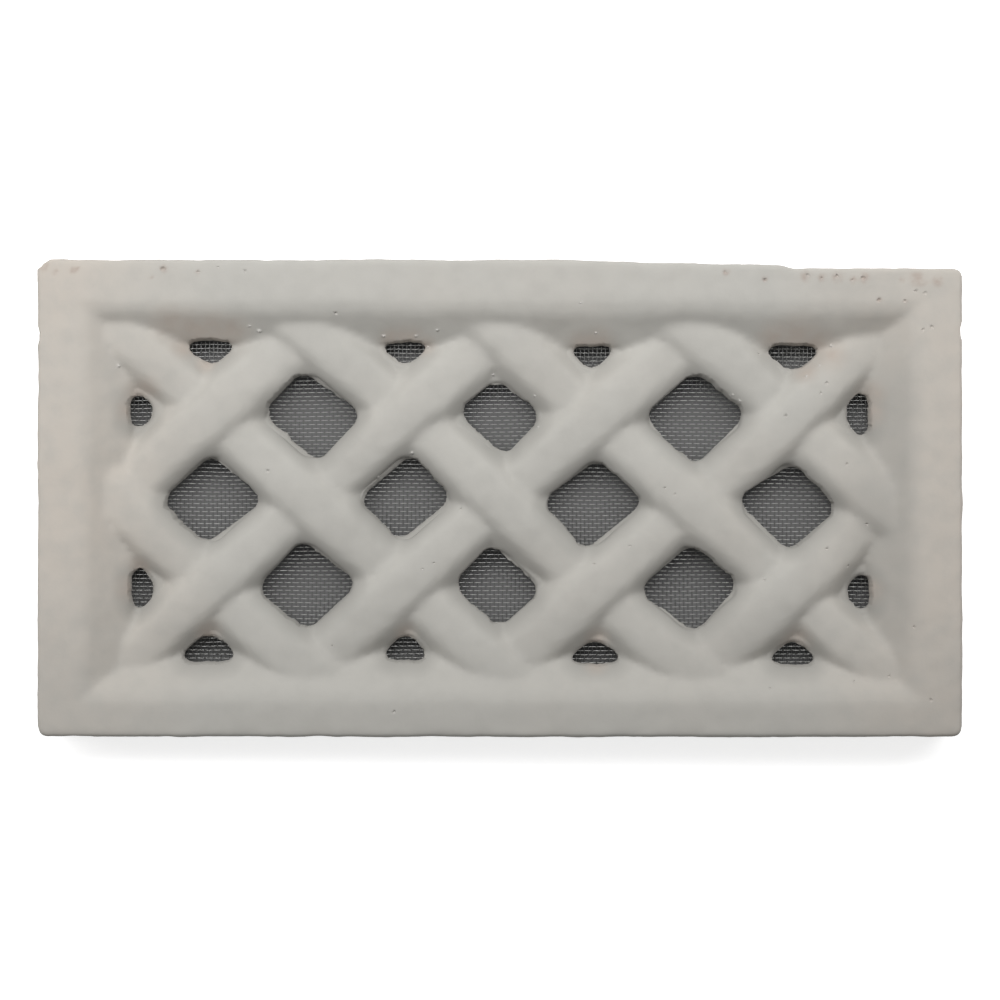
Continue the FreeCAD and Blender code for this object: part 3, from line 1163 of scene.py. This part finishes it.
class SCREENBLOCK_OT_insect_mesh(Operator):
    """Weave the insect mesh"""

    bl_idname = "screen_block.insect_mesh"
    bl_label = "Insect mesh"

    def execute(self, context):
        settings = context.scene.screen_block_mesh
        size = mesh_high - mesh_low
        centre = (mesh_high + mesh_low) / 2
        columns = 2 * math.floor(size.x / settings.pitch_along / 2)
        rows = 2 * math.floor(size.y / settings.pitch_up / 2)
        wire = settings.wire
        along = woven_wires("wires_along", columns, settings.pitch_along, rows, settings.pitch_up, wire)
        up = woven_wires("wires_up", rows, settings.pitch_up, columns, settings.pitch_along, wire)
        up.rotation_euler = (0, 0, math.radians(90))
        # Painted light: the wires along are a lit copy of the wire with strong painted highlights, the wires
        # up a darker shaded copy
        dressed = (
            (along, wire_material("painted_lit_wire", dip_grey=0.1, highlight_grey=0.7)),
            (up, wire_material("painted_shaded_wire", dip_grey=0.17, highlight_grey=0.27)),
        )
        length, strength = MESH_SLACK
        slack = clouds("mesh_slack", length)
        for wires, material in dressed:
            wires.location = centre
            make_active(wires)
            settle()
            for direction in "XY":
                ruffle(wires, slack, strength, direction=direction)
            bpy.ops.object.shade_smooth()
            set_material(wires, material)
            finish_piece(wires, "mesh_wire", "insect_mesh")
        return {"FINISHED"}


# The stage: width of the floor, place, length and width of the lamp, and width of the camera's sensor in
# its own millimetres
FLOOR_WIDTH = 4.0
LAMP_PLACE = (-0.04, 0.25, 0.42)
LAMP_LENGTH = 2.0
LAMP_WIDTH = 0.2
SENSOR_WIDTH = 36.0


class SCREENBLOCK_OT_stage(Operator):
    """Set the floor, the lights and the camera"""

    bl_idname = "screen_block.stage"
    bl_label = "Stage"

    def execute(self, context):
        settings = context.scene.screen_block_stage
        scene = context.scene
        scene.view_settings.view_transform = "Standard"
        start_alone()
        bpy.ops.mesh.primitive_plane_add(size=FLOOR_WIDTH, location=(0, 0, cad_low.z))
        floor = context.object
        floor.name = "floor"
        settle()
        set_material(floor, floor_material(settings))

        world = bpy.data.worlds.new("soft_room")
        world.use_nodes = True
        background = world.node_tree.nodes["Background"]
        background.inputs["Color"].default_value = (1, 1, 1, 1)
        background.inputs["Strength"].default_value = settings.room_light
        scene.world = world

        bpy.ops.object.light_add(type="AREA", location=LAMP_PLACE)
        lamp = context.object
        lamp.name = "window_light"
        lamp.data.shape = "RECTANGLE"
        lamp.data.size = LAMP_LENGTH
        lamp.data.size_y = LAMP_WIDTH
        lamp.data.energy = settings.lamp_power
        lamp.rotation_euler = (-lamp.location).to_track_quat("-Z", "Y").to_euler()

        bpy.ops.object.camera_add(location=EYE, rotation=(0, 0, 0))
        camera = context.object
        camera.data.sensor_width = SENSOR_WIDTH
        camera.data.lens = SENSOR_WIDTH * CAMERA_HEIGHT / (2 * MIDDLE_PIXEL * PIXEL)
        scene.camera = camera
        return {"FINISHED"}


class SCREENBLOCK_PT_panel(Panel):
    """Steps of the screen block, in order"""

    bl_label = "Screen Block"
    bl_idname = "SCREENBLOCK_PT_panel"
    bl_space_type = "VIEW_3D"
    bl_region_type = "UI"
    bl_category = "Screen Block"

    def draw(self, context):
        for operator in STEPS:
            self.layout.operator(operator.bl_idname)


SETTINGS = {
    "screen_block_casting": CastingSettings,
    "screen_block_mesh": MeshSettings,
    "screen_block_stage": StageSettings,
}
STEPS = (SCREENBLOCK_OT_casting, SCREENBLOCK_OT_insect_mesh, SCREENBLOCK_OT_stage)
CLASSES = (*SETTINGS.values(), *STEPS, SCREENBLOCK_PT_panel)


def register():
    for cls in CLASSES:
        bpy.utils.register_class(cls)
    for name, group in SETTINGS.items():
        setattr(bpy.types.Scene, name, PointerProperty(type=group))


def unregister():
    for name in SETTINGS:
        delattr(bpy.types.Scene, name)
    for cls in reversed(CLASSES):
        bpy.utils.unregister_class(cls)


def main():
    register()
    bpy.ops.screen_block.casting()
    bpy.ops.screen_block.insect_mesh()
    bpy.ops.screen_block.stage()


if __name__ == "__main__":
    main()
